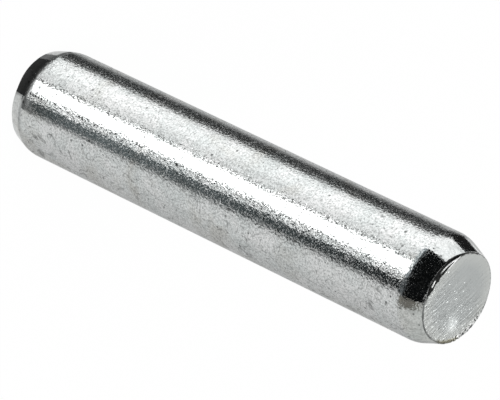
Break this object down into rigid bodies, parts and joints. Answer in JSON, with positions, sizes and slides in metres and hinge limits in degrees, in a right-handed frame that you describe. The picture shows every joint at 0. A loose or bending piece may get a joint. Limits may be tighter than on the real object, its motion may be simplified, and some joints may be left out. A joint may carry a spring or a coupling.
{
  "type": "shelf support pin",
  "caption": "Plain round steel pin, tapered at both ends: one end is pushed into a hole in a cabinet side and a shelf rests on the bare other end.",
  "frame": {"origin": "centre of the square seat end, on the surface that the pin stands on", "axes": "+Z along the pin's axis, from the seat end up to the outer end"},
  "size_m": [0.005, 0.005, 0.025],
  "materials": {
    "zinc_plated_steel": "bright zinc plating over turned steel rod, with a satin sheared end"
  },
  "bodies": {
    "root": {"support_pin": "zinc_plated_steel"}
  },
  "joints": []
}
